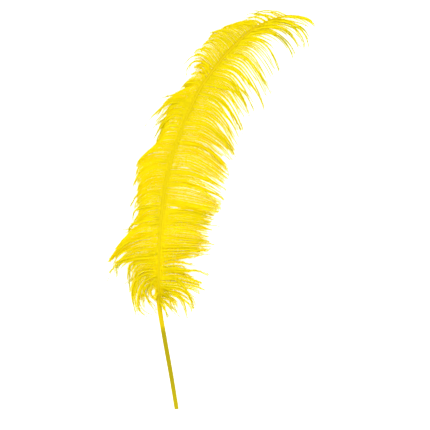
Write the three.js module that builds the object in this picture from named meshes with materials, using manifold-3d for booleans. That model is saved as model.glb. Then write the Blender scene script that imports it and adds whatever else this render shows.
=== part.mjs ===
import * as THREE from 'three';
import { mergeVertices } from 'three/addons/utils/BufferGeometryUtils.js';
import Module from 'manifold-3d';

// A long, curved ostrich plume, dyed yellow, lying on a flat surface. Sizes are in millimetres.
// +Z is up from the surface, and +Y runs from the cut quill towards the tip. The surface is Z = 0.

const FEATHER_YELLOW = 0xf6e01a;

// Middle of the shaft, from the cut end of the bare quill to the curled tip.
const SHAFT_ROUTE = [
  [-37.6, -220.5, 2.3],
  [-43.9, -182, 3.1],
  [-50.6, -144, 5.2],
  [-56.8, -104, 8.4],
  [-57, -75, 10.4],
  [-56.3, -45, 11.8],
  [-53.3, -1, 13],
  [-46.5, 43, 13.4],
  [-32.2, 87, 13],
  [-12.4, 131, 11.8],
  [3.5, 154, 10.8],
  [20.6, 175, 9.6],
  [45.4, 197, 7.6],
  [64.6, 208, 6.2],
  [86, 213.6, 5],
];

// Radius of the shaft: [share of its length, radius]. It is widest where the downy base begins.
const SHAFT_TAPER = [
  [0, 2.2],
  [0.25, 2.7],
  [0.5, 2.4],
  [0.75, 1.7],
  [0.9, 1.1],
  [1, 0.6],
];
const SHAFT_SIDES = 8;
const SHAFT_STEPS = 44;

// Locks of barbs. Each row holds the Y where the lock leaves the shaft, the places that it passes
// and, last, its tip. Both vanes are listed from the tip of the feather down to the downy base.
const LEFT_LOCKS = [
  [212, [71, 214], [50, 216.5]],
  [208, [56, 210.5], [40, 210]],
  [202.5, [43, 205], [28, 205]],
  [195, [28, 200], [13, 198]],
  [186.5, [16.5, 192.5], [0, 192]],
  [177.5, [7, 184.5], [-8, 181.5]],
  [168.5, [-2, 175], [-18, 171]],
  [161.5, [-7, 168.5], [-19.5, 164], [-29, 145.5]],
  [151, [-9.5, 157.5], [-20, 151]],
  [140, [-18, 143.5], [-32.5, 134]],
  [131, [-25, 132.5], [-43, 125], [-55.8, 122.5]],
  [121, [-36, 122.5], [-51.5, 113], [-72.3, 91.5]],
  [112, [-38, 117], [-51.5, 105], [-64.5, 88.5]],
  [103.5, [-42.5, 107], [-53.5, 96], [-62.5, 79.5]],
  [94.5, [-45.5, 95.5], [-59.5, 78]],
  [85, [-49, 84.5], [-62.5, 69]],
  [76, [-54, 75.5], [-76, 58]],
  [67, [-64.5, 64.5], [-83.3, 46.5]],
  [58, [-67, 54.5], [-79, 45.5], [-84.5, 32]],
  [48.7, [-67, 45.5], [-80, 34.5], [-87.2, 20]],
  [38.8, [-69, 34.5], [-79, 24.5], [-83.3, 13.5]],
  [29.5, [-70, 25.5], [-82, 14.5], [-89.5, 2.5]],
  [20.5, [-70, 16], [-80, 7], [-85.5, -4]],
  [11, [-71, 6], [-86, -14]],
  [1.5, [-71, -3], [-91, -27]],
  [-8, [-74.5, -11.5], [-96.5, -22]],
  [-18, [-79, -23], [-98.5, -37], [-113, -54]],
  [-27.5, [-82, -33.5], [-99.5, -46], [-114, -60]],
  [-37, [-83.5, -43.5], [-102, -58], [-118, -78]],
  [-46.5, [-83, -51], [-103, -60.5], [-105, -78]],
  [-55.5, [-80, -58.5], [-90, -70], [-91, -89]],
  [-64, [-77.5, -66], [-87.5, -79], [-94, -87]],
  [-72, [-76, -74], [-84.5, -93], [-84.5, -118]],
  [-79.5, [-70.5, -81], [-78.5, -97], [-66, -122.5]],
  [-87, [-65.5, -89], [-67.5, -100], [-60, -116]],
];

const RIGHT_LOCKS = [
  [213.2, [101, 208.5], [118, 204]],
  [209.5, [94, 205.5], [114.5, 199.5]],
  [207.5, [86, 202.5], [100.5, 195], [111, 180]],
  [201.5, [75, 197.5], [92, 186], [101, 172.5]],
  [193.5, [65, 193], [79.5, 183], [90.5, 165.3]],
  [184.5, [50, 182.5], [65, 170], [78, 147]],
  [176, [38, 174], [54, 159], [69, 131]],
  [166, [32, 161], [46.5, 143.5], [58.6, 119]],
  [156, [25, 151.5], [40, 132], [51, 110]],
  [146, [19, 141.5], [34, 124], [45, 103]],
  [135.5, [12.5, 129.5], [27, 112.5], [37, 90.5]],
  [125, [5, 119.5], [20, 103.5], [35.5, 78.4]],
  [115, [0.5, 109.5], [16, 93], [28.8, 70.7]],
  [105, [-3.5, 99], [12.5, 84], [26, 63.5]],
  [95, [-7.5, 90.5], [11.5, 76.5], [27.5, 56.5]],
  [85, [-12.5, 81.5], [8, 69], [23.5, 52]],
  [75.5, [-16, 72], [4.5, 60], [20, 45.5]],
  [66, [-18.5, 63], [2.5, 51], [20, 35.5]],
  [56.5, [-21.5, 54], [-1, 43], [16.8, 27.8]],
  [47, [-24, 45], [-2, 35], [15.8, 20.5]],
  [37.5, [-25, 35.5], [-3, 26.5], [15.5, 12.5]],
  [28, [-26.5, 26], [-5, 17.5], [13.5, 6.5]],
  [18, [-27, 15.5], [-8, 8.5], [12.4, 1.4]],
  [8, [-25.5, 5], [3, -5.5]],
  [-2, [-23.5, -4.5], [3.5, -12.5]],
  [-12, [-25, -14], [2, -21]],
  [-22, [-27, -23.5], [-2, -29]],
  [-32, [-27, -33], [2.3, -38]],
  [-42, [-27, -42.5], [2.3, -43.5]],
  [-52, [-27, -52.5], [-1, -51]],
  [-61.3, [-33.5, -60], [-11.8, -67.5]],
  [-70, [-31, -71], [-8.5, -81.5]],
  [-78, [-30, -79.5], [-6.3, -90]],
  [-86, [-33, -88.5], [-24.5, -97], [-19.5, -110]],
  [-93, [-37, -97.5], [-24.5, -120.5]],
  [-98.5, [-47, -104], [-38, -118]],
];

// A lock is a thin blade, ridged along its middle. It leaves the shaft a little wider than its own
// stretch of shaft, so that neighbours grow together into a vane and part only near their tips.
const LOCK_SIDES = 4;
const LOCK_STEPS = 7;
const LOCK_OVERLAP = 1.35;
const NARROWEST_LOCK = 5;
const WIDEST_LOCK = 13;
const LOCK_THICKNESS = 3;
const LOCK_TIP_THICKNESS = 0.9;
const TIP_ROUNDING = 0.8;

// A full lock keeps its width nearly to its tip. Above the middle, the right vane's are slender.
const FULL_TAPER = 3.4;
const SLENDER_TAPER = 1.9;
const FULL_BELOW_Y = 40;
const SLENDER_ABOVE_Y = 130;

// Beside the shaft the vanes rise a little, the downy base most, and then droop to the surface.
const VANE_LIFT = 3;
const DOWN_LIFT = 8;
const DOWN_TOP_Y = -20;
const DOWN_END_Y = -100;
const DROOP_POWER = 1.6;
const LIFT_LEAN = 0.4;

// The down is fluffy, so its locks swell by this thickness between their roots and tips.
const DOWN_FLUFF = 12;

const UP = new THREE.Vector3(0, 0, 1);
const MERGE_DISTANCE = 1e-4;
const ROOT_SEARCH_STEPS = 40;

const wasm = await Module();
wasm.setup();

function toSolid(geometry) {
  geometry.deleteAttribute('normal');
  geometry.deleteAttribute('uv');
  const merged = mergeVertices(geometry, MERGE_DISTANCE);
  return new wasm.Manifold(new wasm.Mesh({
    numProp: 3,
    vertProperties: merged.attributes.position.array,
    triVerts: Uint32Array.from(merged.index.array),
  }));
}

function toGeometry(solid) {
  const { vertProperties, triVerts } = solid.getMesh();
  const geometry = new THREE.BufferGeometry();
  geometry.setAttribute('position', new THREE.BufferAttribute(vertProperties, 3));
  geometry.setIndex(new THREE.BufferAttribute(triVerts, 1));
  geometry.computeVertexNormals();
  return geometry;
}

// Bends an upright cylinder or cone, 1 high and 1 in radius, along a curve without rolling it.
function bendAlong(blank, curve, halfWidthAt, halfHeightAt) {
  const places = blank.attributes.position;
  for (let i = 0; i < places.count; i += 1) {
    const share = THREE.MathUtils.clamp(places.getY(i) + 0.5, 0, 1);
    const ring = new THREE.Vector2(places.getX(i), places.getZ(i)).normalize();
    const ahead = curve.getTangentAt(share);
    const sideways = ahead.clone().cross(UP).normalize();
    const upwards = sideways.clone().cross(ahead);
    const place = curve.getPointAt(share);
    place.addScaledVector(sideways, ring.x * halfWidthAt(share));
    place.addScaledVector(upwards, ring.y * halfHeightAt(share));
    places.setXYZ(i, place.x, place.y, place.z);
  }
  return toSolid(blank);
}

const shaftCurve = new THREE.CatmullRomCurve3(
  SHAFT_ROUTE.map((place) => new THREE.Vector3(...place)),
);

// The shaft climbs steadily in Y, so each Y is one place on it.
function shaftPlaceAt(y) {
  let low = 0;
  let high = 1;
  for (let i = 0; i < ROOT_SEARCH_STEPS; i += 1) {
    const middle = (low + high) / 2;
    if (shaftCurve.getPoint(middle).y < y) {
      low = middle;
    } else {
      high = middle;
    }
  }
  return shaftCurve.getPoint(low);
}

function shaftRadiusAt(share) {
  const after = Math.max(1, SHAFT_TAPER.findIndex(([end]) => end >= share));
  const [start, from] = SHAFT_TAPER[after - 1];
  const [end, to] = SHAFT_TAPER[after];
  return THREE.MathUtils.mapLinear(share, start, end, from, to);
}

function shaft() {
  const blank = new THREE.CylinderGeometry(1, 1, 1, SHAFT_SIDES, SHAFT_STEPS);
  return bendAlong(blank, shaftCurve, shaftRadiusAt, shaftRadiusAt);
}

// How downy a lock is, from 0 where the vane is smooth to 1 where the base is all down.
function downAt(y) {
  return THREE.MathUtils.smoothstep(-y, -DOWN_TOP_Y, -DOWN_END_Y);
}

// The line that a lock follows: seen from above through its places, seen from the side in an arch.
function lockCurve(root, places) {
  const seenFromAbove = new THREE.CatmullRomCurve3(
    [[root.x, root.y], ...places].map(([x, y]) => new THREE.Vector3(x, y, 0)),
  );
  const lift = THREE.MathUtils.lerp(VANE_LIFT, DOWN_LIFT, downAt(root.y));
  const arch = seenFromAbove.getSpacedPoints(LOCK_STEPS);
  arch.forEach((place, i) => {
    const share = i / LOCK_STEPS;
    const rise = lift * Math.sin(Math.PI * share) * (1 - LIFT_LEAN * share);
    place.z = root.z * (1 - share ** DROOP_POWER) + rise;
  });
  return new THREE.CatmullRomCurve3(arch);
}

function lock(root, places, breadth, taper) {
  const blank = new THREE.CylinderGeometry(0, 1, 1, LOCK_SIDES, LOCK_STEPS);
  const halfWidthAt = (share) => (breadth / 2) * (1 - share ** taper) ** TIP_ROUNDING;
  const fluff = DOWN_FLUFF * downAt(root.y);
  const halfHeightAt = (share) => (
    THREE.MathUtils.lerp(LOCK_THICKNESS, LOCK_TIP_THICKNESS, share)
    + fluff * Math.sin(Math.PI * share)
  ) / 2;
  return bendAlong(blank, lockCurve(root, places), halfWidthAt, halfHeightAt);
}

function vane(rows, taperAt) {
  const roots = rows.map(([y]) => shaftPlaceAt(y));
  return rows.map(([, ...places], i) => {
    const neighbour = roots[i + 1] ?? roots[i - 1];
    const spacing = roots[i].distanceTo(neighbour);
    const breadth = THREE.MathUtils.clamp(spacing * LOCK_OVERLAP, NARROWEST_LOCK, WIDEST_LOCK);
    return lock(roots[i], places, breadth, taperAt(roots[i].y));
  });
}

function rightTaperAt(y) {
  const slender = THREE.MathUtils.smoothstep(y, FULL_BELOW_Y, SLENDER_ABOVE_Y);
  return THREE.MathUtils.lerp(FULL_TAPER, SLENDER_TAPER, slender);
}

function feather() {
  const locks = [
    ...vane(LEFT_LOCKS, () => FULL_TAPER),
    ...vane(RIGHT_LOCKS, rightTaperAt),
  ];
  const solid = locks.reduce((whole, one) => whole.add(one), shaft());
  const material = new THREE.MeshStandardMaterial({
    color: FEATHER_YELLOW,
    roughness: 0.75,
    metalness: 0,
  });
  const mesh = new THREE.Mesh(toGeometry(solid), material);
  mesh.name = 'feather';
  return mesh;
}

const part = new THREE.Group();
part.name = 'ostrich_feather';
part.add(feather());

export default part;
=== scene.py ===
import math

import bmesh
import bpy
import numpy as np
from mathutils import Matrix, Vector


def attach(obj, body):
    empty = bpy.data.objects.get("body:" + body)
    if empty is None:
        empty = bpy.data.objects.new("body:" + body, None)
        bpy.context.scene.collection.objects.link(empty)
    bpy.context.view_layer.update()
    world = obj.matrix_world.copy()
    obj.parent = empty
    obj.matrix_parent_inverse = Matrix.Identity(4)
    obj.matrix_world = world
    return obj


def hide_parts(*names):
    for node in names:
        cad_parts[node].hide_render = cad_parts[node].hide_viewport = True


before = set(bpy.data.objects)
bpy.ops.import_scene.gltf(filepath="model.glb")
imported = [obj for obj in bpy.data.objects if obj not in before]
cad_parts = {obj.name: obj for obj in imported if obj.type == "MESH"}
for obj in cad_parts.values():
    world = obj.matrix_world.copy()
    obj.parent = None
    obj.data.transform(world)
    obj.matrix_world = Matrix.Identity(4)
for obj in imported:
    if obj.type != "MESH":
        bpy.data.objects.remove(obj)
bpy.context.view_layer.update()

chance = np.random.default_rng(20)

# The shaft, the barbs and the barbules are drawn in millimetres, and all the rest is in metres.
MM = 0.001

# Middle of the shaft, from the cut end of the bare quill to the curled tip.
SHAFT_ROUTE = [
    (-37.6, -220.5, 2.5),
    (-43.9, -182, 3.1),
    (-50.6, -144, 5.2),
    (-56.8, -104, 8.4),
    (-57, -75, 10.4),
    (-56.3, -45, 11.8),
    (-53.3, -1, 13),
    (-46.5, 43, 13.4),
    (-32.2, 87, 13),
    (-12.4, 131, 11.8),
    (3.5, 154, 10.8),
    (20.6, 175, 9.6),
    (45.4, 197, 7.6),
    (64.6, 208, 6.2),
    (86, 213.6, 5),
]

# Radius of the shaft: share of its length, radius.
SHAFT_TAPER = [
    (0, 2.4),
    (0.25, 2.75),
    (0.5, 2.4),
    (0.75, 1.8),
    (0.9, 1.4),
    (1, 0.7),
]

# Guides for the barbs of the left vane, from the curled tip down to the downy base. Each row holds
# the Y where a barb leaves the shaft, the share of its length up to which the vane is thick, the
# places that it passes and, last, its tip.
LEFT_GUIDES = [
    (213.6, 0.25, (77, 218), (67, 219.8), (56, 219.5), (46.5, 218)),
    (211.5, 0.2, (65, 216.2), (52, 217), (40, 213)),
    (208.2, 0.3, (56, 213.2), (48, 215), (40, 213.4)),
    (203.8, 0.7, (52, 206.6), (44, 208.2), (33, 207.6)),
    (197, 0.75, (44, 201.5), (36, 205), (25, 204.5), (21.5, 202)),
    (190, 0.8, (33, 195.5), (25.5, 199.8), (15, 200), (11.5, 196.5)),
    (184, 0.8, (23.5, 189.8), (15, 195), (4, 196), (1, 192.5)),
    (177, 0.8, (18.3, 183), (10.5, 189), (1, 191), (-2, 187)),
    (170.3, 0.8, (12.8, 176.7), (6.4, 183.4), (-1.5, 185.5), (-5, 181.5)),
    (165.5, 0.8, (9, 171.5), (3, 178), (-6.5, 181.5), (-10.5, 177)),
    (161, 0.8, (4.8, 166.2), (-0.5, 172.8), (-10.8, 177.2), (-15, 172.5)),
    (157.5, 0.8, (1.5, 162.5), (-3.5, 168.5), (-14.5, 173.5), (-18, 168.5)),
    (154, 0.8, (-1.9, 158.6), (-6.2, 164.1), (-12.5, 169.4), (-18.5, 169.6)),
    (150, 0.8, (-3.5, 153.5), (-7, 159), (-11.6, 163.3), (-19, 161.5)),
    (145.5, 0.8, (-9.1, 151.4), (-13.4, 154.6), (-19, 152.7)),
    (140.5, 0.75, (-16, 143.5), (-24, 140.5), (-33, 133.8)),
    (132.5, 0.85, (-20, 135.5), (-30, 131)),
    (126, 0.6, (-30, 129.5), (-44, 125), (-55.8, 122.4)),
    (119, 0.42, (-36, 122.5), (-52, 114), (-72.3, 91.6)),
    (111.5, 0.42, (-38, 116), (-51, 105), (-64.5, 88.3)),
    (104, 0.5, (-42, 106.5), (-53, 96), (-62.3, 79.5)),
    (97, 0.6, (-44.5, 98.5), (-58, 81.7)),
    (89.5, 0.75, (-48, 89.5), (-61, 73)),
    (80.6, 0.95, (-50.5, 79.5), (-63.5, 65.2)),
    (72, 0.9, (-58, 71), (-77.5, 55.5)),
    (65, 0.75, (-64.5, 63.5), (-77.5, 56), (-83, 46.5)),
    (57.5, 0.72, (-67, 54), (-79, 45.5), (-84, 32.2)),
    (48.7, 0.68, (-67, 45.5), (-80, 34.5), (-87, 20)),
    (38.8, 0.66, (-69, 34.5), (-79, 24.5), (-83.3, 13.5)),
    (29, 0.62, (-70, 25.5), (-82, 14.5), (-89.3, 2.5)),
    (19, 0.62, (-70, 15.5), (-80, 7), (-85.5, -4)),
    (9, 0.62, (-71, 5.5), (-85.5, -14)),
    (0.3, 0.56, (-71, -3), (-91, -27)),
    (-8.5, 0.56, (-74.5, -11.8), (-96.5, -21.7)),
    (-16, 0.5, (-78, -19.5), (-96, -32), (-108, -48)),
    (-22.8, 0.8, (-80, -25.5), (-100, -39), (-113, -54.7)),
    (-29.5, 0.85, (-82, -32), (-100, -45), (-114, -59)),
    (-37, 0.7, (-82, -40.5), (-103, -53), (-107.5, -62.5)),
    (-43.7, 0.45, (-84.5, -46), (-102, -58), (-117.5, -78)),
    (-50.3, 0.55, (-83.5, -52.5), (-103, -60), (-105, -78)),
    (-57, 0.5, (-81, -58.5), (-90, -69), (-90.5, -89)),
    (-62.4, 0.55, (-78, -63), (-88, -74.5), (-96.5, -84.5)),
    (-66.8, 0.58, (-78, -68.5), (-86, -85), (-88, -103)),
    (-72.3, 0.58, (-75.5, -74), (-84.5, -94), (-83.5, -118.5)),
    (-76.7, 0.55, (-71, -77.5), (-79, -88), (-81, -99), (-78.5, -110), (-65, -122)),
    (-81, 0.5, (-69, -83), (-75.5, -96.5), (-71, -109.7)),
    (-85.5, 0.4, (-63.5, -86), (-66.5, -92), (-64, -100), (-58, -112)),
    (-90, 0.6, (-59, -95), (-59.5, -104)),
]

RIGHT_GUIDES = [
    (213.6, 0.75, (99, 211.5), (111, 208.3), (117, 203)),
    (212.3, 0.5, (97, 210), (109, 206), (115, 200.5)),
    (209.5, 0.15, (89.5, 205.5), (103, 198.5), (112, 187)),
    (206.5, 0.15, (85, 201.5), (99, 191), (108, 176)),
    (203.8, 0.2, (79.5, 198.5), (92.5, 187.5), (99.5, 174)),
    (200.5, 0.25, (70.5, 196.5), (87, 183), (95, 168)),
    (195, 0.25, (67, 193.5), (82, 183), (90.5, 165.3)),
    (190.5, 0.2, (56, 190), (72.5, 179), (82, 163)),
    (185.5, 0.2, (49, 183.5), (64, 172), (77, 146.5)),
    (179.6, 0.25, (44, 178.5), (59, 164.5), (71.5, 140)),
    (173, 0.28, (38.5, 169.5), (53, 152), (67.4, 124.6)),
    (166.4, 0.35, (32, 161.5), (46.5, 143.5), (58.6, 119)),
    (158.7, 0.3, (27.5, 154.5), (43, 136), (52, 119)),
    (151, 0.4, (21, 146.5), (35.5, 128), (46.5, 106)),
    (142.2, 0.4, (16.8, 137), (32, 120.5), (43, 102.5)),
    (134.5, 0.4, (12.5, 129), (26.5, 112.5), (36.5, 90.5)),
    (127.9, 0.42, (6, 122.5), (20, 106), (35.5, 78.4)),
    (113.6, 0.45, (1.5, 108), (17, 91.5), (29, 70.7)),
    (101.5, 0.55, (-4, 97), (12.5, 81.5), (25.5, 63)),
    (92.7, 0.65, (-7.5, 89.5), (12.5, 75), (27.8, 56.4)),
    (82.8, 0.5, (-12, 80.5), (8, 68.5), (24.5, 53)),
    (73, 0.75, (-15, 70.5), (4.5, 58.5), (20, 45.5)),
    (64, 0.8, (-18.5, 62), (2.5, 50), (20, 35.5)),
    (54, 0.7, (-21.5, 52.5), (-1, 42), (17, 27.8)),
    (44.3, 0.5, (-24, 43), (-2, 33.5), (15.7, 21.2)),
    (34.4, 0.5, (-25, 33.5), (-3, 24.5), (15.7, 12.4)),
    (24.5, 0.7, (-27, 24.5), (-5, 17), (13.5, 7)),
    (13.5, 0.95, (-12, 6), (12.4, 1.4)),
    (-0.8, 0.85, (-23, -3), (3.6, -10.7)),
    (-8.5, 0.85, (-25, -10), (3.6, -16.2)),
    (-16.2, 0.8, (-25, -18), (1.4, -24)),
    (-22.8, 0.75, (-27, -24), (-3, -28.3)),
    (-30.5, 0.8, (-27, -31.5), (-0.8, -35)),
    (-38.2, 0.7, (-27, -39), (2.5, -40.4)),
    (-46, 0.75, (-27, -45.4), (0.3, -46)),
    (-53.6, 0.5, (-27, -52), (-0.8, -49.2)),
    (-61.3, 0.55, (-34, -59), (-20.6, -62.4), (-11.8, -66.8)),
    (-68, 0.65, (-31.6, -68), (-11.8, -75.6)),
    (-73.4, 0.8, (-30.5, -74), (-8.5, -82.2)),
    (-80, 0.85, (-29.5, -82), (-6.3, -90)),
    (-86.6, 0.55, (-34, -89), (-25, -96.5), (-19.5, -109.7)),
    (-92, 0.45, (-36, -96.5), (-24, -120.7)),
    (-96.5, 0.45, (-43.7, -101), (-34, -113)),
    (-101, 0.3, (-50.3, -108.6), (-47, -120.7)),
]

# Openings between the barbs: the Y where an opening's line leaves the shaft, the shares of the
# barbs' length where it starts and ends, and its width. One that ends past 1 is open at the tips.
LEFT_OPENINGS = [
    (190, 0.5, 1.3, 3),
    (181, 0.5, 1.3, 3),
    (173.5, 0.5, 1.3, 3.5),
    (165.8, 0.45, 1.15, 3),
    (157.5, 0.4, 1.15, 3),
    (152, 0.4, 1.15, 3),
    (116, 0.28, 0.5, 2.2),
    (113.5, 0.48, 0.66, 4),
    (108, 0.48, 0.66, 4),
    (60, 0.75, 0.95, 2.2),
    (34, 0.68, 0.9, 2.6),
    (24, 0.8, 1.3, 4),
    (14, 0.7, 1.0, 3.6),
    (4.5, 0.7, 1.2, 3),
    (-11.5, 0.55, 0.95, 6),
    (-40, 0.48, 0.9, 5),
    (-47, 0.6, 1.3, 5),
    (-54, 0.45, 1.3, 12),
    (-60, 0.6, 1.3, 6),
    (-79, 0.4, 1.2, 3),
    (-83, 0.3, 1.2, 5),
    (-87.5, 0.1, 0.5, 3),
]
RIGHT_OPENINGS = [
    (211.3, -0.2, 0.9, 3.5),
    (126, 0.38, 0.7, 3),
    (122, 0.2, 0.38, 1.8),
    (107, 0.45, 0.75, 3),
    (81, 0.5, 0.9, 4),
    (76, 0.38, 0.56, 2.4),
    (71, 0.42, 0.65, 2.4),
    (49, 0.6, 1.2, 3),
    (46.5, 0.15, 0.38, 2.2),
    (44.5, 0.46, 0.7, 2),
    (40, 0.2, 0.38, 1.4),
    (33.5, 0.3, 0.55, 1.8),
    (28, 0.55, 1.2, 5),
    (3, 0.04, 0.36, 3),
    (1, 0.4, 0.64, 2.4),
    (-4.5, 0.7, 1.3, 2.5),
    (-12, 0.6, 1.3, 2.5),
    (-20, 0.6, 1.3, 2.5),
    (-26, 0.65, 1.3, 2.5),
    (-34, 0.7, 1.3, 2.5),
    (-42, 0.6, 1.3, 3),
    (-49.5, 0.5, 1.3, 3),
    (-58, 0.22, 1.3, 6),
    (-61.5, 0.6, 0.95, 2),
    (-64.5, 0.42, 0.7, 2),
    (-83.5, 0.5, 1.3, 6),
    (-94, 0.45, 1.3, 4),
]

# The barbs beside an opening are pushed apart, less and less over this distance along the shaft.
OPENING_REACH = 4.0

# Single strands that stand out from the vanes. Each row holds the number of barbs that cling
# together, how loose they lie from 0 to 1, the Y where they leave the shaft, the places that they
# pass and, last, their tip.
LEFT_STRANDS = [
    (2, 0.9, 208, (60, 214), (48, 215), (36, 212.5)),
    (2, 0.9, 156, (-4, 167), (-19, 169), (-24, 166), (-28.7, 161)),
    (4, 0.8, 151, (-6, 161.5), (-19, 162.5), (-25.8, 155.8), (-28.3, 146.6)),
    (6, 0.3, 149, (-5, 155), (-10, 160), (-15.5, 158.5)),
    (6, 0.3, 146, (-7, 152.5), (-11.5, 156), (-16, 153.5)),
    (6, 0.3, 142, (-9, 148), (-13, 150.5), (-15.8, 147)),
    (4, 0.3, 135, (-18, 139), (-26, 139.8), (-30, 136.5), (-33.4, 133.9)),
    (4, 0.7, 122, (-32.5, 127.2), (-42.6, 125.6), (-56, 122.6)),
    (7, 0.2, 118, (-34, 121.5), (-40.9, 120.5), (-49.3, 118.7), (-52.7, 116.2)),
    (3, 0.9, 113, (-36, 118), (-45.9, 116.2), (-57.7, 107.9), (-66.2, 100.3), (-72.3, 91.5)),
    (3, 0.9, 110, (-36, 115), (-45, 111), (-54, 103), (-61, 94)),
    (4, 0.8, 106, (-37, 110), (-46, 103.7), (-56, 96), (-64.5, 89.4)),
    (3, 0.9, 104, (-39, 107.5), (-47, 101.5), (-55, 92.5), (-60, 85)),
    (4, 0.8, 100, (-40, 103), (-49.3, 96.9), (-57.7, 86.8), (-62.8, 78.4)),
    (3, 0.8, 90, (-44, 92.5), (-54, 86.5), (-60.5, 75)),
    (5, 0.4, 52, (-60, 53.5), (-72, 54.8), (-79.6, 51.4), (-83, 46.5)),
    (4, 0.5, 44, (-62, 46), (-75, 42), (-82, 35), (-84.5, 27)),
    (6, 0.6, 16, (-68, 19.5), (-81.7, 15.5), (-85.6, 8.6), (-88.6, 2.7)),
    (6, 0.6, 0, (-70, 2.5), (-83.7, -2.1), (-85.6, -7.1), (-86.2, -12.9)),
    (6, 0.6, -9, (-70, -10.5), (-81.7, -15), (-89.6, -18.9), (-90.6, -26.8)),
    (5, 0.7, -14, (-72, -17), (-81.7, -21.4), (-90.6, -21.8), (-97.5, -22)),
    (7, 0.2, -22, (-73.9, -30.6), (-93.6, -36.6), (-103.3, -46.4), (-113.1, -58.1)),
    (5, 0.8, -46, (-78, -53), (-90.6, -56.3), (-100.4, -59.1), (-108.3, -65.1), (-117.2, -77.8)),
    (4, 0.9, -48, (-80, -54.5), (-93.6, -57.3), (-103.3, -64.1), (-104.9, -75.8)),
    (4, 0.8, -56, (-78, -58), (-89, -60), (-90.4, -75.8), (-89.6, -90.6)),
    (3, 0.9, -62, (-74, -66), (-85.6, -75.8), (-91.6, -79.8), (-96, -83.7)),
    (5, 0.6, -66, (-76, -72), (-84.7, -80.8), (-86.7, -95.6), (-82.8, -117.1)),
    (5, 0.5, -71, (-73, -80), (-79.9, -100.4), (-77.9, -111.3), (-71.9, -118.1), (-67, -121.1)),
    (4, 0.7, -76, (-70, -84), (-75.9, -98.6), (-73.9, -109.3)),
    (5, 0.5, -79, (-68, -84.5), (-73.9, -87.7), (-68.1, -101.4), (-60.2, -115.1)),
]
RIGHT_STRANDS = [
    (9, 0.0, 212, (85.2, 212.5), (99.9, 211.5), (109.7, 207.6), (114.6, 200.7)),
    (5, 0.8, 208, (75.4, 207.6), (94.9, 202.7), (104.9, 190.9), (109.7, 176.2)),
    (5, 0.8, 206, (71.4, 207.6), (85.2, 205.7), (95, 197.7), (102.9, 184.9), (104, 171)),
    (8, 0.2, 198, (62.6, 200.7), (80.4, 198.8), (90.2, 190.9), (98.9, 178.1)),
    (6, 0.8, 193, (59.7, 194.9), (73.4, 190.9), (83.2, 182), (91.1, 171.2)),
    (6, 0.9, 186, (51, 187), (62, 179.5), (70.5, 165), (77.4, 148.6)),
    (7, 0.8, 168, (36.1, 167.4), (51.9, 151.6), (60.7, 137.9), (67.4, 125.1)),
    (7, 0.6, 156, (26, 154), (36.1, 146), (45.9, 134.9), (53.7, 124.1), (60.7, 109.3)),
    (6, 0.7, 146, (20, 141), (38.1, 127), (43.9, 117.2), (47.8, 108.4)),
    (6, 0.6, 138, (16, 133), (33.2, 125.1), (40, 111.4), (43.9, 103.5)),
    (7, 0.7, 128, (9, 121), (22, 108), (30, 95), (35.5, 82)),
    (6, 0.6, 96, (-5, 92), (12, 79), (22, 68), (28, 57.5)),
    (7, 0.0, 74, (-14, 70.5), (4.5, 59), (14, 49.5), (20.5, 38)),
    (6, 0.2, 40, (-24, 39), (-2, 32), (10, 26.5), (17.4, 21.4)),
    (6, 0.2, 27, (-25, 27), (-4, 20.5), (8, 15.5), (16.5, 10.5)),
    (4, 0.7, -3, (-28, -2), (-8, -4.5), (8, -7.5)),
    (4, 0.7, -14, (-28, -13.5), (-8, -16), (10.6, -18.9)),
    (5, 0.4, -31, (-28, -33), (-8, -36), (4, -39.3)),
    (4, 0.6, -39, (-28, -43), (-10, -47.5), (2.7, -48.9)),
    (6, 0.2, -64, (-30, -66.5), (-14, -68), (-2, -70.5)),
    (6, 0.4, -75, (-36, -78), (-24.8, -93.4), (-18.8, -109.3)),
    (5, 0.6, -84, (-40, -92), (-30, -103), (-23.7, -121.1)),
    (4, 0.8, -90, (-44, -98), (-39.3, -109), (-34.5, -119)),
    (3, 0.9, -96, (-49, -103), (-44, -110), (-41, -117)),
    (3, 0.9, -99, (-53, -105), (-49.5, -112), (-47, -119.5)),
]

# The barbs of a strand leave the shaft about this far apart and close up over this share of their
# length. One of them reaches the strand's tip and the others these shares of it. They fray by so
# many times the looseness of their stretch of the vane.
STRAND_SPREAD = 0.9
STRAND_MERGE = 0.8
STRAND_REACH = (0.7, 1.0)
STRAND_FRAYING = 1.5

# A strand thins between these shares of its length, and is painted darker as painted shade between the
# next ones, the more the looser it lies.
STRAND_THINNING = (0.3, 0.8)
STRAND_SHADING = (0.4, 0.9)

# Beside the shaft the vanes rise a little, the downy base most, and then droop to the surface. The
# rise leans towards the shaft, and the higher its power, the later the droop comes. The down is
# fluffy, so its barbs lie up to this far above and below the middle of its thickness. It sets in
# between its two heights, and nothing lies lower than the last value.
VANE_LIFT = 3.0
DOWN_LIFT = 8.0
LIFT_LEAN = 0.4
DROOP_POWER = 1.6
DOWN_SPREAD = 1.8
DOWN_TOP_Y = -20.0
DOWN_END_Y = -100.0
LOWEST = 0.25

# Barbs are the single hairs that leave the shaft. They stray from even places along it by up to
# this share of their spacing, and by up to twice that where they clump.
BARB_STEPS = 13
STEPS = np.linspace(0, 1, BARB_STEPS)
ROOT_JITTER = 0.3

# Their roots stand out from the shaft's middle line and rise above it: share of the shaft's length,
# share of its radius. They are back on the lines of the guides at this share of their length.
ROOT_SPREAD = [(0.0, 0.5), (0.6, 0.5), (0.85, 0.95), (1.0, 0.95)]
ROOT_RISE = [(0.0, 0.8), (0.6, 0.7), (0.85, 0.3), (1.0, 0.3)]
ROOT_SPREAD_END = 0.3

# Their heights wander by so many times their looseness, and their tips lie about this far too high
# or too low.
HEIGHT_WANDER = 0.8
TIP_SCATTER = 0.5

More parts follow.
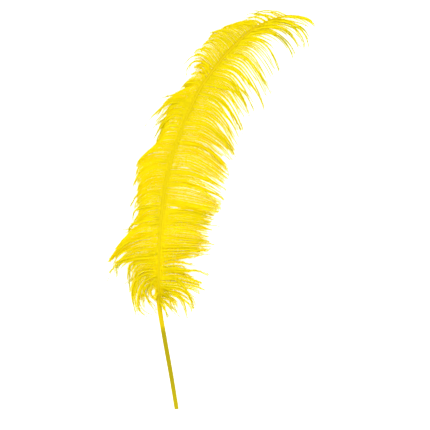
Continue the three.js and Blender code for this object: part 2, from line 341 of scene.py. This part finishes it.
# They are a little broader where the vane is thick, and as high as this share of their width. They
# flare at the root and narrow at the tip by these shares of their width, and the flare ends and the
# narrowing starts at these shares of their length.
BARB_WIDTH = 0.75
BARB_LOOSE_WIDTH = 0.7
BARB_HEIGHT = 0.45
BARB_FLARE = 0.5
BARB_NARROWING = 0.75
BARB_FLARE_END = 0.15
BARB_NARROWING_START = 0.75

# Barbules are the down along each barb, long where the vane is thick and short on the loose ends.
# Their widths and lengths are spread over these ranges, and their feet are as high as this share of
# half their width. So many places are tried for each barbule, and on the loose ends only this share
# of the places keeps one.
BARBULE_WIDTH = 0.27
BARBULE_LOOSE_WIDTH = 0.34
BARBULE_WIDTH_RANGE = (0.7, 1.2)
BARBULE_HEIGHT = 0.6
BARBULE_LENGTH = 2.3
BARBULE_LOOSE_LENGTH = 1.45
BARBULE_LENGTH_RANGE = (0.6, 1.25)
BARBULE_LOOSE_SHARE = 0.7
BARBULE_TRIES = 4

# Degrees between a barbule and its barb on the loose ends, and how many more where the vane is
# thick. A barbule rises by the tilt, as a share of its length, and fluff scatters that and adds to
# its length.
BARBULE_LEAN = 24
BARBULE_THICK_LEAN = 24
BARBULE_LEAN_SCATTER = 8
BARBULE_TILT = 0.05
BARBULE_TILT_SCATTER = 0.22
FLUFF_TILT = 0.3
FLUFF_LENGTH = 0.5
VANE_FLUFF = 0.05
DOWN_FLUFF = 0.4

# Barbs cling to their strand, a little where the vane is thick and closely beyond it, and on their
# loose ends to the nearest guide as well.
STRAND_CLING = 0.85
CLING_STRETCH = 0.4
LOCK_CLING = 0.3

# How much of a barb's reach it shares with its strand, and the scatter and the least value of its
# reach, as shares of its length.
SHARED_REACH = 0.75
REACH_SCATTER = 0.03
LEAST_REACH = 0.15

# The vane thins out from this far before the end of its thick part to this far beyond it, as shares
# of a barb's length.
THINS_BEFORE = 0.1
THINS_BEYOND = 0.25

# Strands drift sideways by so many times their looseness on the loose ends, and by 1 less where the
# vane is thick. Each barb drifts by this share of that on its own.
LOOSE_DRIFT = 1.2
OWN_DRIFT = 0.5

# A drifting barb swings by this many turns between its root and its tip.
DRIFT_TURNS = (0.4, 1.6)

# Painted shade: barbs are painted darker, and greener on their far ends, where the thick part is short,
# as the rest of a barb's length grows between these shares. This offsets the fuller light that loose
# barbs catch and stands in for the dim, backlit look of thin strands. The shade is deepest on the far
# ends, over this share of a barb's length beyond the thick part.
LOOSE_SHADE_SHARES = (0.42, 0.85)
FAR_SHADE_STRETCH = 0.45
ROOT_SHADE = 0.25

# The end of the feather takes at least this much of that painted shade, which sets in between these
# shares of the shaft's length.
TIP_SHADE = 0.2
TIP_SHADING = (0.7, 0.9)

# The strand map holds one row for each barb, so many rows in a unit. The corners of a barb and of a
# barbule stand at these places within their row, and a barbule's foot is twice this wide on the map.
STRAND_MAP = "OFBake"
MAP_ROWS = 256
BARB_CORNERS = (0.1, 0.5, 0.9)
BARBULE_CORNERS = (0.1, 0.1, 0.4, 0.9)
BARBULE_FOOT = 0.01
# Each point's share of the painted shade is kept in this attribute.
SHADE_ATTRIBUTE = "fading"

# Points on the shaft's middle line and between two stops of a smooth path.
SHAFT_POINTS = 800
STOP_POINTS = 20

# Faces along the shaft and around it, and how close the vertices of its seam are to become one.
SHAFT_STEPS = 150
SHAFT_SIDES = 14
SHAFT_SEAM = 1e-6
SHAFT_MAP = "shaft_map"


def ease(low, high, value):
    """Nothing below the low value, 1 above the high one and a smooth ramp between them."""
    share = np.clip((value - low) / (high - low), 0, 1)
    return share * share * (3 - 2 * share)


def smooth_path(stops, count):
    """Evenly spaced points on a smooth curve through the stops."""
    stops = np.asarray(stops, float)
    ends = np.vstack([2 * stops[0] - stops[1], stops, 2 * stops[-1] - stops[-2]])
    t = np.linspace(0, 1, STOP_POINTS, endpoint=False)[:, None]
    line = []
    for a, b, c, d in zip(ends, ends[1:], ends[2:], ends[3:]):
        before, across, after = (math.sqrt(np.linalg.norm(q - p)) for p, q in ((a, b), (b, c), (c, d)))
        leave = (b - a) / before - (c - a) / (before + across) + (c - b) / across
        arrive = (c - b) / across - (d - b) / (across + after) + (d - c) / after
        leave, arrive = leave * across, arrive * across
        square = 3 * (c - b) - 2 * leave - arrive
        cube = 2 * (b - c) + leave + arrive
        line.append(b + leave * t + square * t**2 + cube * t**3)
    line = np.vstack([*line, stops[-1:]])
    return at_shares(line, np.linspace(0, 1, count))


def lengths_along(line):
    """Length of a line up to each of its points."""
    return np.concatenate([[0], np.cumsum(np.linalg.norm(np.diff(line, axis=0), axis=1))])


def at_shares(line, shares):
    """Points at the given shares of a line's length."""
    along = lengths_along(line)
    places = [np.interp(shares * along[-1], along, line[:, axis]) for axis in range(line.shape[1])]
    return np.stack(places, axis=-1)


SHAFT = smooth_path(SHAFT_ROUTE, SHAFT_POINTS)
SHAFT_LENGTH = lengths_along(SHAFT)[-1]


def from_table(rows, shares):
    return np.interp(shares, [row[0] for row in rows], [row[1] for row in rows])


def share_of_y(y):
    return np.interp(y, SHAFT[:, 1], lengths_along(SHAFT) / SHAFT_LENGTH)


def directions(paths):
    """The direction ahead at each step of each path."""
    ahead = np.gradient(paths, axis=1)
    return ahead / np.linalg.norm(ahead, axis=2, keepdims=True)


def beside(paths):
    """The level direction to the right at each step of each flat path."""
    ahead = directions(paths)
    return np.stack([ahead[:, :, 1], -ahead[:, :, 0]], axis=-1)


def frames_along(paths):
    """Directions ahead, sideways and upwards at each step of each path."""
    ahead = directions(paths)
    sideways = np.cross(ahead, [0, 0, 1])
    sideways /= np.linalg.norm(sideways, axis=2, keepdims=True)
    return ahead, sideways, np.cross(sideways, ahead)


def guide_lines(rows, roots):
    """The smooth line of each guide, measured from the point where it leaves the shaft."""
    lines = []
    for share, (_, _, *places) in zip(roots, rows):
        root = at_shares(SHAFT, np.array([share]))[0, :2]
        lines.append(smooth_path([root, *places], BARB_STEPS) - root)
    return np.array(lines)


def cut_short(lines, reach):
    """Each line up to its own share of its length, in even steps."""
    return np.array([at_shares(line, STEPS * far) for line, far in zip(lines, reach)])


def wander(size, count):
    """A smooth drift to and fro along each barb, nothing at its root and full at its tip."""
    turns = chance.uniform(*DRIFT_TURNS, (count, 1))
    phase = chance.uniform(0, 2 * math.pi, (count, 1))
    weight = chance.normal(0, size, (count, 1))
    return weight * (np.sin(2 * math.pi * turns * STEPS + phase) - np.sin(phase)) * STEPS


def parted(root_y, along, openings):
    """How far each step of each barb is pushed towards the tip of the feather by the openings."""
    push = np.zeros(along.shape)
    for y, start, end, width in openings:
        share = np.clip((along - start) / (end - start), 0, 1)
        away = (root_y - y)[:, None]
        most = np.sign(away) * width / 2 * np.exp(-np.abs(away) / OPENING_REACH)
        push += most * np.sin(math.pi * share) ** 2
    return push


def shade_of_loose_barbs(along, limit, shares):
    """How much painted shade, darker and greener, each step of each barb takes."""
    beyond = ease(limit, limit + FAR_SHADE_STRETCH, along)
    loose_shade = ease(*LOOSE_SHADE_SHARES, 1 - limit) * (ROOT_SHADE + (1 - ROOT_SHADE) * beyond)
    return np.maximum(loose_shade, TIP_SHADE * ease(*TIP_SHADING, shares)[:, None])


def barbs_of(guides, openings, low_y, high_y, spacing, clumping, cling_from, sizes, thinning, looseness):
    """Middle lines of the barbs between two heights, how thick the vane is along each, and its painted
    shade.

    The lines are an array of barb, step and X, Y, Z in mm. Every barb passes the thick part of the
    vane, and fewer and fewer reach on to the tips of the guides, the fewer the more thinning.
    """
    rows = sorted(guides, key=lambda row: row[0])
    roots = np.array([share_of_y(row[0]) for row in rows])
    limits = np.array([row[1] for row in rows])
    offsets = guide_lines(rows, roots)

    first, last = max(share_of_y(low_y), roots[0]), min(share_of_y(high_y), roots[-1])
    count = int((last - first) * SHAFT_LENGTH / spacing)
    jitter = ROOT_JITTER * (1 + clumping) * chance.uniform(-1, 1, count)
    shares = first + (last - first) * (np.arange(count) + 0.5 + jitter) / count
    after = np.clip(np.searchsorted(roots, shares), 1, len(roots) - 1)
    weight = (shares - roots[after - 1]) / (roots[after] - roots[after - 1])
    limit = limits[after - 1] * (1 - weight) + limits[after] * weight
    spread = weight[:, None, None]
    bases = at_shares(SHAFT, shares)
    radii = from_table(SHAFT_TAPER, shares)
    lines = bases[:, None, :2] + offsets[after - 1] * (1 - spread) + offsets[after] * spread

    strand = np.repeat(np.arange(count), chance.integers(*sizes, count))[:count]
    luck = SHARED_REACH * chance.random(count)[strand] + (1 - SHARED_REACH) * chance.random(count)
    reach = limit + (1 - limit) * luck**thinning
    reach = np.clip(reach * chance.normal(1.0, REACH_SCATTER, count), LEAST_REACH, 1)
    along = STEPS * reach[:, None]
    limit = limit[:, None]
    thick = 1 - ease(limit - THINS_BEFORE, limit + THINS_BEYOND, along)
    paths = cut_short(lines, reach)

    near = np.where(weight > 0.5, after, after - 1)
    locks = cut_short(at_shares(SHAFT, roots[near])[:, None, :2] + offsets[near], reach)
    paths += (locks - paths) * (LOCK_CLING * (1 - thick) * along)[:, :, None]

    middles = cut_short([lines[strand == one].mean(0) for one in strand], reach)
    cling = STRAND_CLING * (clumping + (1 - clumping) * (1 - thick))
    cling *= ease(cling_from, cling_from + CLING_STRETCH, along)
    paths += (middles - paths) * cling[:, :, None]

    sideways = beside(paths)
    strands_drift = wander(looseness, strand.max() + 1)[strand]
    drift = (strands_drift + wander(looseness * OWN_DRIFT, count)) * (LOOSE_DRIFT - thick)
    towards_tip = np.where(sideways[:, :, 1:] > 0, sideways, -sideways)
    paths += sideways * drift[:, :, None] + towards_tip * parted(bases[:, 1], along, openings)[:, :, None]
    return raised(paths, bases, radii, along, looseness), thick, shade_of_loose_barbs(along, limit, shares)


def raised(paths, bases, radii, along, looseness):
    """The barbs at their heights, rising beside the shaft and then drooping to the surface."""
    count = len(paths)
    on_shaft = share_of_y(bases[:, 1])
    rise = from_table(ROOT_RISE, on_shaft) * radii
    spread = from_table(ROOT_SPREAD, on_shaft) * radii
    outward = paths[:, 1:2] - paths[:, :1]
    outward /= np.linalg.norm(outward, axis=2, keepdims=True)
    paths = paths + outward * spread[:, None, None] * (1 - ease(0, ROOT_SPREAD_END, STEPS))[None, :, None]
    down = ease(-DOWN_TOP_Y, -DOWN_END_Y, -bases[:, 1])[:, None]
    arch = np.sin(math.pi * along)
    height = (bases[:, 2] + rise)[:, None] * (1 - along**DROOP_POWER)
    height += (VANE_LIFT + (DOWN_LIFT - VANE_LIFT) * down) * arch * (1 - LIFT_LEAN * along)
    height += DOWN_SPREAD * down * chance.uniform(-1, 1, (count, 1)) * arch
    drift = wander(looseness * HEIGHT_WANDER, count)
    height += drift + chance.normal(0, TIP_SCATTER, (count, 1)) * STEPS
    return np.concatenate([paths, np.maximum(height, LOWEST)[:, :, None]], axis=2)


def strands_of(rows, low_y, high_y, looseness):
    """Middle lines of the barbs of the single strands that leave the shaft between two heights."""
    rows = [row for row in rows if low_y <= row[2] < high_y]
    shares = np.array([share_of_y(row[2]) for row in rows])
    roots = at_shares(SHAFT, shares)[:, :2]
    lines = np.array([smooth_path([root, *row[3:]], BARB_STEPS) for root, row in zip(roots, rows)])
    strand = np.repeat(np.arange(len(rows)), [row[0] for row in rows])
    count = len(strand)
    shares = shares[strand] + chance.normal(0, STRAND_SPREAD, count) / SHAFT_LENGTH
    bases = at_shares(SHAFT, shares)
    reach = chance.uniform(*STRAND_REACH, count)
    reach[np.searchsorted(strand, np.arange(len(rows)))] = 1
    paths = cut_short(lines[strand], reach)
    apart = (bases[:, :2] - roots[strand])[:, None, :]
    paths += apart * (1 - ease(0, STRAND_MERGE, STEPS))[None, :, None]
    paths += beside(paths) * wander(looseness * STRAND_FRAYING, count)[:, :, None]
    along = STEPS * reach[:, None]
    loose = np.array([row[1] for row in rows])[strand][:, None]
    thick = 1 - loose * ease(*STRAND_THINNING, along)
    # Loose strands take painted shade towards their tips.
    loose_shade = loose * (ROOT_SHADE + (1 - ROOT_SHADE) * ease(*STRAND_SHADING, along))
    return raised(paths, bases, from_table(SHAFT_TAPER, shares), along, looseness), thick, loose_shade


def joined(*groups):
    """The paths, thicknesses and painted shade of several groups of barbs as one group."""
    return tuple(np.concatenate(values) for values in zip(*groups))


def map_places(along, within, barb):
    """Places on the strand map: along a barb to the right, and one row of the map for each barb."""
    return np.stack([along, (barb + within) / MAP_ROWS], axis=-1).reshape(-1, 2)


def barb_stems(paths, thick, loose_shade):
    """Closed tapered barbs with a ridge on top: vertices, triangles, map places and painted shade."""
    count, steps = paths.shape[:2]
    _, sideways, upwards = frames_along(paths)
    width = BARB_LOOSE_WIDTH + (BARB_WIDTH - BARB_LOOSE_WIDTH) * thick
    flare = 1 + BARB_FLARE * (1 - ease(0, BARB_FLARE_END, STEPS))
    narrowing = 1 - BARB_NARROWING * ease(BARB_NARROWING_START, 1, STEPS)
    half = (width / 2 * flare * narrowing)[:, :, None]
    sides = [-sideways * half, sideways * half, upwards * half * BARB_HEIGHT * 2]
    vertices = np.stack([paths + side for side in sides], axis=2)
    index = np.arange(count * steps * 3).reshape(count, steps, 3)
    here, there = index[:, :-1], index[:, 1:]
    right_of_here, right_of_there = np.roll(here, -1, axis=2), np.roll(there, -1, axis=2)
    corners = [here, there, right_of_here, right_of_here, there, right_of_there]
    walls = np.stack(corners, axis=-1).reshape(-1, 3)
    ends = np.concatenate([index[:, 0], index[:, -1, ::-1]])
    triangles = np.concatenate([walls, ends])
    u = np.broadcast_to(STEPS[None, :, None], index.shape)
    v = np.broadcast_to(np.array(BARB_CORNERS), index.shape)
    barb = np.broadcast_to(np.arange(count)[:, None, None], index.shape)
    return vertices.reshape(-1, 3), triangles, map_places(u, v, barb), np.repeat(loose_shade.ravel(), 3)


def barbules(paths, thick, loose_shade, total, fluff):
    """Slender closed spikes on both sides of the barbs: vertices, triangles, map places and painted
    shade.
    """
    count, steps = paths.shape[:2]
    ahead, sideways, upwards = frames_along(paths)
    lengths = np.array([lengths_along(path)[-1] for path in paths])
    barb = chance.choice(count, total * BARBULE_TRIES, p=lengths / lengths.sum())
    share = chance.random(len(barb))
    place = share * (steps - 1)
    step = np.minimum(place.astype(int), steps - 2)
    full = thick[barb, step]
    likely = BARBULE_LOOSE_SHARE + (1 - BARBULE_LOOSE_SHARE) * full
    kept = np.flatnonzero(chance.random(len(barb)) < likely)[:total]
    barb, share, step, full = barb[kept], share[kept], step[kept], full[kept]
    between = (place[kept] - step)[:, None]
    count = len(barb)

    def blend(values):
        return values[barb, step] * (1 - between) + values[barb, step + 1] * between

    root, forward, side, up = blend(paths), blend(ahead), blend(sideways), blend(upwards)
    middle_lean = BARBULE_LEAN + BARBULE_THICK_LEAN * full
    lean = np.radians(chance.normal(middle_lean, BARBULE_LEAN_SCATTER))[:, None]
    flank = chance.choice([-1.0, 1.0], count)[:, None]
    tilt = chance.normal(BARBULE_TILT, BARBULE_TILT_SCATTER + FLUFF_TILT * fluff, count)[:, None]
    away = np.cos(lean) * forward + np.sin(lean) * flank * side + tilt * up
    away /= np.linalg.norm(away, axis=1, keepdims=True)
    size = BARBULE_LOOSE_LENGTH + (BARBULE_LENGTH - BARBULE_LOOSE_LENGTH) * full
    size *= chance.uniform(*BARBULE_LENGTH_RANGE, count) * (1 + FLUFF_LENGTH * fluff)
    tip = root + away * size[:, None]
    tip[:, 2] = np.maximum(tip[:, 2], LOWEST)

    across = np.cross(away, [0, 0, 1])
    across /= np.linalg.norm(across, axis=1, keepdims=True)
    over = np.cross(across, away)
    width = BARBULE_LOOSE_WIDTH + (BARBULE_WIDTH - BARBULE_LOOSE_WIDTH) * full
    half = (width / 2 * chance.uniform(*BARBULE_WIDTH_RANGE, count))[:, None]
    top = root + over * half * BARBULE_HEIGHT
    vertices = np.stack([root - across * half, root + across * half, top, tip], axis=1)
    index = np.arange(count * 4).reshape(-1, 4)
    order = [(0, 1, 3), (1, 2, 3), (2, 0, 3), (0, 2, 1)]
    triangles = np.concatenate([index[:, list(corner)] for corner in order])
    u = np.stack([share - BARBULE_FOOT, share + BARBULE_FOOT, share, share], axis=1)
    v = np.broadcast_to(np.array(BARBULE_CORNERS), index.shape)
    places = map_places(u, v, np.repeat(barb[:, None], 4, axis=1))
    return vertices.reshape(-1, 3), triangles, places, np.repeat(loose_shade[barb, step], 4)


def mesh_piece(name, parts, finish):
    """One object from lists of vertices, triangles, map places and painted shade, in millimetres."""
    vertices = np.concatenate([part[0] for part in parts]) * MM
    starts = np.cumsum([0] + [len(part[0]) for part in parts[:-1]])
    triangles = np.concatenate([part[1] + start for part, start in zip(parts, starts)])
    places = np.concatenate([part[2] for part in parts])
    mesh = bpy.data.meshes.new(name)
    mesh.vertices.add(len(vertices))
    mesh.vertices.foreach_set("co", vertices.ravel())
    mesh.loops.add(triangles.size)
    mesh.loops.foreach_set("vertex_index", triangles.ravel())
    mesh.polygons.add(len(triangles))
    mesh.polygons.foreach_set("loop_start", np.arange(0, triangles.size, 3))
    layer = mesh.uv_layers.new(name=STRAND_MAP)
    layer.data.foreach_set("uv", places[triangles.ravel()].ravel())
    loose_shade = mesh.attributes.new(SHADE_ATTRIBUTE, "FLOAT", "POINT")
    loose_shade.data.foreach_set("value", np.concatenate([part[3] for part in parts]))
    mesh.update(calc_edges=True)
    return placed(name, mesh, finish)


def placed(name, mesh, finish):
    mesh.materials.append(finish)
    piece = bpy.data.objects.new(name, mesh)
    bpy.context.scene.collection.objects.link(piece)
    return piece


def ride_as_feather(piece):
    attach(piece, "root")
    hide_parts("feather")


class Wire:
    """A value in a material. Differences and products of wires add their own nodes."""

    def __init__(self, tree, socket=None):
        self.tree = tree
        self.socket = socket

    def node(self, kind, settings, sockets, output=0):
        made = self.tree.nodes.new(kind)
        for name, value in settings.items():
            if name == "stops":
                for stop, (position, colour) in zip(made.color_ramp.elements, value):
                    stop.position = position
                    stop.color = colour
                for position, colour in value[2:]:
                    made.color_ramp.elements.new(position).color = colour
            else:
                setattr(made, name, value)
        for name, value in sockets.items():
            if isinstance(value, Wire):
                self.tree.links.new(value.socket, made.inputs[name])
            else:
                made.inputs[name].default_value = value
        return Wire(self.tree, made.outputs[output] if made.outputs else None)

    def maths(self, operation, first, second=0.0, clamp=False):
        settings = {"operation": operation, "use_clamp": clamp}
        return self.node("ShaderNodeMath", settings, {0: first, 1: second})

    def __sub__(self, other):
        return self.maths("SUBTRACT", self, other)

    def __rsub__(self, other):
        return self.maths("SUBTRACT", other, self)

    def __mul__(self, other):
        return self.maths("MULTIPLY", self, other)

    __rmul__ = __mul__

    def mix(self, first, second):
        """The first colour where this value is 0, the second where it is 1."""
        return self.node("ShaderNodeMix", {"data_type": "RGBA"}, {0: self, 6: first, 7: second}, 2)


def new_finish(name):
    finish = bpy.data.materials.new(name)
    finish.use_nodes = True
    finish.node_tree.nodes.clear()
    return finish, Wire(finish.node_tree)


def close_finish(wire, sockets):
    surface = wire.node("ShaderNodeBsdfPrincipled", {}, sockets)
    wire.node("ShaderNodeOutputMaterial", {}, {"Surface": surface})


# Each barb is somewhere between lemon and gold, and then turns to the loose gold and on to the yellow
# of the far ends, both darker colours that are painted shade.
# Its own shade is multiplied by one that it shares with its neighbours, which moves on by this much
# from barb to barb, and by the strength.
LEMON = (0.98, 0.85, 0.006, 1)
GOLD = (0.98, 0.71, 0.001, 1)
SHADED_LOOSE_GOLD = (0.8, 0.68, 0.006, 1)
SHADED_FAR_YELLOW = (0.6, 0.59, 0.02, 1)
SHADE_STEP = 0.3
GOLD_STRENGTH = 1.6

# Over this first share of its length a barb is darker. That sets in above the down, from this Y and
# over this distance.
ROOT_GOLD = (0.86, 0.69, 0.008, 1)
ROOT_GOLD_STRETCH = 0.25
ROOT_GOLD_Y = -0.06
ROOT_GOLD_RAMP = 0.05

# Painted shade: the lowest down is painted dark olive where it leaves the shaft, for the shadow among
# its dense barbs.
OLIVE = (0.82, 0.65, 0.001, 1)
SHADE_PATCH_MIDDLE = (-0.0505, -0.094, 0.012)
SHADE_PATCH_RADIUS = 0.012

# Colours of the shaft, from the cut quill: share of its length, colour. Past the olive quill the
# yellows are painted darker than the barbs, as painted shade that offsets the fuller light on the bare
# shaft.
QUILL_END = (0.45, 0.36, 0.003, 1)
QUILL_OLIVE = (0.35, 0.285, 0.002, 1)
SHAFT_GOLD = (0.6, 0.45, 0.001, 1)
SHAFT_LEMON = (0.63, 0.485, 0.001, 1)
SHAFT_TOP_GOLD = (0.63, 0.46, 0.002, 1)
SHAFT_COLOURS = [
    (0.0, QUILL_END),
    (0.07, QUILL_OLIVE),
    (0.178, QUILL_OLIVE),
    (0.192, SHAFT_GOLD),
    (0.3, SHAFT_LEMON),
    (0.65, SHAFT_LEMON),
    (0.8, SHAFT_TOP_GOLD),
]


def barb_finish():
    finish, wire = new_finish("dyed_barbs")
    strand = wire.node("ShaderNodeUVMap", {"uv_map": STRAND_MAP}, {})
    along = wire.node("ShaderNodeSeparateXYZ", {}, {0: strand}, 0)
    across = wire.node("ShaderNodeSeparateXYZ", {}, {0: strand}, 1)
    place = wire.node("ShaderNodeTexCoord", {}, {}, "Object")
    up = wire.node("ShaderNodeSeparateXYZ", {}, {0: place}, 1)

    row = wire.maths("FLOOR", across * MAP_ROWS)
    own = wire.node("ShaderNodeTexWhiteNoise", {"noise_dimensions": "1D"}, {"W": row})
    shades = {"W": row * SHADE_STEP, "Scale": 1.0}
    shared = wire.node("ShaderNodeTexNoise", {"noise_dimensions": "1D"}, shades)
    golden = wire.maths("MULTIPLY", own * shared, GOLD_STRENGTH, clamp=True)
    near_root = wire.maths("SUBTRACT", 1.0, along * (1 / ROOT_GOLD_STRETCH), clamp=True)
    above_down = wire.maths("MULTIPLY", up - ROOT_GOLD_Y, 1 / ROOT_GOLD_RAMP, clamp=True)
    base = (near_root * above_down).mix(golden.mix(LEMON, GOLD), ROOT_GOLD)

    # The first half of the painted shade leads to the loose gold and the second half on to the darker,
    # greener yellow of the far ends.
    loose_shade = wire.node("ShaderNodeAttribute", {"attribute_name": SHADE_ATTRIBUTE}, {}, "Fac")
    inner = wire.maths("MULTIPLY", loose_shade, 2.0, clamp=True)
    outer = wire.maths("SUBTRACT", loose_shade * 2.0, 1.0, clamp=True)
    dye_and_shade = outer.mix(inner.mix(base, SHADED_LOOSE_GOLD), SHADED_FAR_YELLOW)

    # Painted shade in a small ball around the foot of the down.
    ends = {0: place, 1: SHADE_PATCH_MIDDLE}
    away = wire.node("ShaderNodeVectorMath", {"operation": "DISTANCE"}, ends, "Value")
    painted_shade_patch = wire.maths("SUBTRACT", 1.0, away * (1 / SHADE_PATCH_RADIUS), clamp=True)
    colour = painted_shade_patch.mix(dye_and_shade, OLIVE)
    close_finish(wire, {"Base Color": colour, "Roughness": 0.8, "Specular IOR Level": 0.0})
    return finish


def shaft_finish():
    finish, wire = new_finish("dyed_and_shaded_quill")
    place = wire.node("ShaderNodeUVMap", {"uv_map": SHAFT_MAP}, {})
    along = wire.node("ShaderNodeSeparateXYZ", {}, {0: place}, 0)
    colour = wire.node("ShaderNodeValToRGB", {"stops": SHAFT_COLOURS}, {0: along})
    close_finish(wire, {"Base Color": colour, "Roughness": 0.5, "Specular IOR Level": 0.05})
    return finish


def shaft_piece(finish):
    """The shaft from the cut quill to the tip, as one tapered tube."""
    path = SHAFT[np.linspace(0, SHAFT_POINTS - 1, SHAFT_STEPS + 1).astype(int)]
    radii = from_table(SHAFT_TAPER, lengths_along(path) / SHAFT_LENGTH)
    _, sideways, upwards = (values[0] for values in frames_along(path[None]))
    shell = bmesh.new()
    uv = shell.loops.layers.uv.new(SHAFT_MAP)
    bmesh.ops.create_grid(shell, x_segments=SHAFT_STEPS, y_segments=SHAFT_SIDES, size=1)
    for face in shell.faces:
        for loop in face.loops:
            loop[uv].uv = ((loop.vert.co.x + 1) / 2, (loop.vert.co.y + 1) / 2)
    for vertex in shell.verts:
        step = round((vertex.co.x + 1) / 2 * SHAFT_STEPS)
        angle = math.pi * vertex.co.y
        side = math.sin(angle) * sideways[step] + math.cos(angle) * upwards[step]
        vertex.co = Vector((path[step] + radii[step] * side) * MM)
    bmesh.ops.remove_doubles(shell, verts=shell.verts, dist=SHAFT_SEAM)
    bmesh.ops.holes_fill(shell, edges=shell.edges, sides=SHAFT_SIDES)
    bmesh.ops.recalc_face_normals(shell, faces=shell.faces)
    mesh = bpy.data.meshes.new("shaft")
    shell.to_mesh(mesh)
    shell.free()
    mesh.shade_smooth()
    return placed("shaft", mesh, finish)


def vane_pieces(finish):
    """The vanes and the down, each piece from a few stretches of one side of the feather or both.

    A stretch holds its side, the Y where it starts and ends, how far apart its barbs leave the
    shaft, how much they clump, the share of their length where they start to cling to their strand,
    the fewest barbs of a strand and one more than the most, the thinning and the looseness. A piece
    has a number of barbules and their fluff.
    """
    left = (LEFT_GUIDES, LEFT_OPENINGS, LEFT_STRANDS)
    right = (RIGHT_GUIDES, RIGHT_OPENINGS, RIGHT_STRANDS)
    past_tip, down_top, below_down = 300, -40, -120
    down = (below_down, down_top, 0.78, 0.3, 0.05, (2, 6), 0.9, 1.2)

    left_tuft = (left, 202, past_tip, 2.0, 0.8, -0.2, (2, 4), 1.0, 1)
    left_tip = (left, 143, 202, 0.85, 0.6, 0.35, (3, 7), 0.4, 0.9)
    left_upper = (left, 60, 143, 0.85, 0.2, 0.1, (2, 6), 0.9, 0.5)
    left_lower = (left, down_top, 60, 0.85, 0.2, 0.1, (2, 6), 0.9, 0.6)
    right_tip = (right, 148, past_tip, 0.85, 0.7, 0.0, (2, 6), 0.5, 0.5)
    right_upper = (right, 70, 148, 0.85, 0.65, 0.12, (2, 5), 0.35, 0.6)
    right_middle = (right, 22, 70, 0.82, 0.55, 0.12, (2, 5), 0.45, 0.6)
    right_lower = (right, down_top, 22, 0.76, 0.1, 0.2, (2, 6), 0.6, 0.6)
    pieces = [
        ("left_vane_tip", 17000, VANE_FLUFF, [left_tip, left_tuft]),
        ("left_vane_upper", 28000, VANE_FLUFF, [left_upper]),
        ("left_vane_lower", 38000, VANE_FLUFF, [left_lower]),
        ("right_vane_tip", 24000, VANE_FLUFF, [right_tip]),
        ("right_vane_upper", 36000, VANE_FLUFF, [right_upper]),
        ("right_vane_lower", 40000, VANE_FLUFF, [right_lower, right_middle]),
        ("downy_base", 40000, DOWN_FLUFF, [(left, *down), (right, *down)]),
    ]
    for name, total, fluff, stretches in pieces:
        groups = []
        for (guides, openings, strands), low, high, *manner, looseness in stretches:
            groups.append(barbs_of(guides, openings, low, high, *manner, looseness))
            groups.append(strands_of(strands, low, high, looseness))
        barbs = joined(*groups)
        ride_as_feather(mesh_piece(name, [barb_stems(*barbs), barbules(*barbs, total, fluff)], finish))


# A white floor that glows a little, under a bright sky and a weak lamp at the upper left.
WHITE = (1, 1, 1, 1)
FLOOR_SIZE = 4
FLOOR_GREY = (0.9, 0.9, 0.9, 1)
FLOOR_GLOW = 0.65
SKY_STRENGTH = 1.38
LAMP_PLACE = (-0.5, 0.4, 1.9)
LAMP_SIZE = 1.2
LAMP_WATTS = 6


def floor():
    bpy.ops.mesh.primitive_plane_add(size=FLOOR_SIZE, location=(0, 0, 0))
    plane = bpy.context.object
    plane.name = "floor"
    finish, wire = new_finish("white_floor")
    sockets = {"Base Color": FLOOR_GREY, "Roughness": 0.9}
    sockets.update({"Emission Color": WHITE, "Emission Strength": FLOOR_GLOW})
    close_finish(wire, sockets)
    plane.data.materials.append(finish)


def light():
    world = bpy.data.worlds.new("studio")
    world.use_nodes = True
    sky = world.node_tree.nodes["Background"]
    sky.inputs["Color"].default_value = WHITE
    sky.inputs["Strength"].default_value = SKY_STRENGTH
    bpy.context.scene.world = world
    lamp = bpy.data.lights.new("softbox", "AREA")
    lamp.shape = "SQUARE"
    lamp.size = LAMP_SIZE
    lamp.energy = LAMP_WATTS
    box = bpy.data.objects.new("softbox", lamp)
    box.location = LAMP_PLACE
    box.rotation_euler = (-box.location).to_track_quat("-Z", "Y").to_euler()
    bpy.context.scene.collection.objects.link(box)


# The camera looks straight down, and at this level the picture is as wide as the photo's frame.
CAMERA_DISTANCE = 2.2
SENSOR_WIDTH = 36
PHOTO_WIDTH = 0.473
PHOTO_MIDDLE = (0.0047, -0.0063)
PHOTO_LEVEL = 0.01


def camera():
    lens = bpy.data.cameras.new("camera")
    lens.sensor_width = SENSOR_WIDTH
    lens.lens = SENSOR_WIDTH * CAMERA_DISTANCE / PHOTO_WIDTH
    viewer = bpy.data.objects.new("camera", lens)
    viewer.location = (*PHOTO_MIDDLE, CAMERA_DISTANCE + PHOTO_LEVEL)
    bpy.context.scene.collection.objects.link(viewer)
    bpy.context.scene.camera = viewer


camera()
yellow = barb_finish()
vane_pieces(yellow)
ride_as_feather(shaft_piece(shaft_finish()))
floor()
light()
bpy.context.scene.view_settings.view_transform = "Standard"
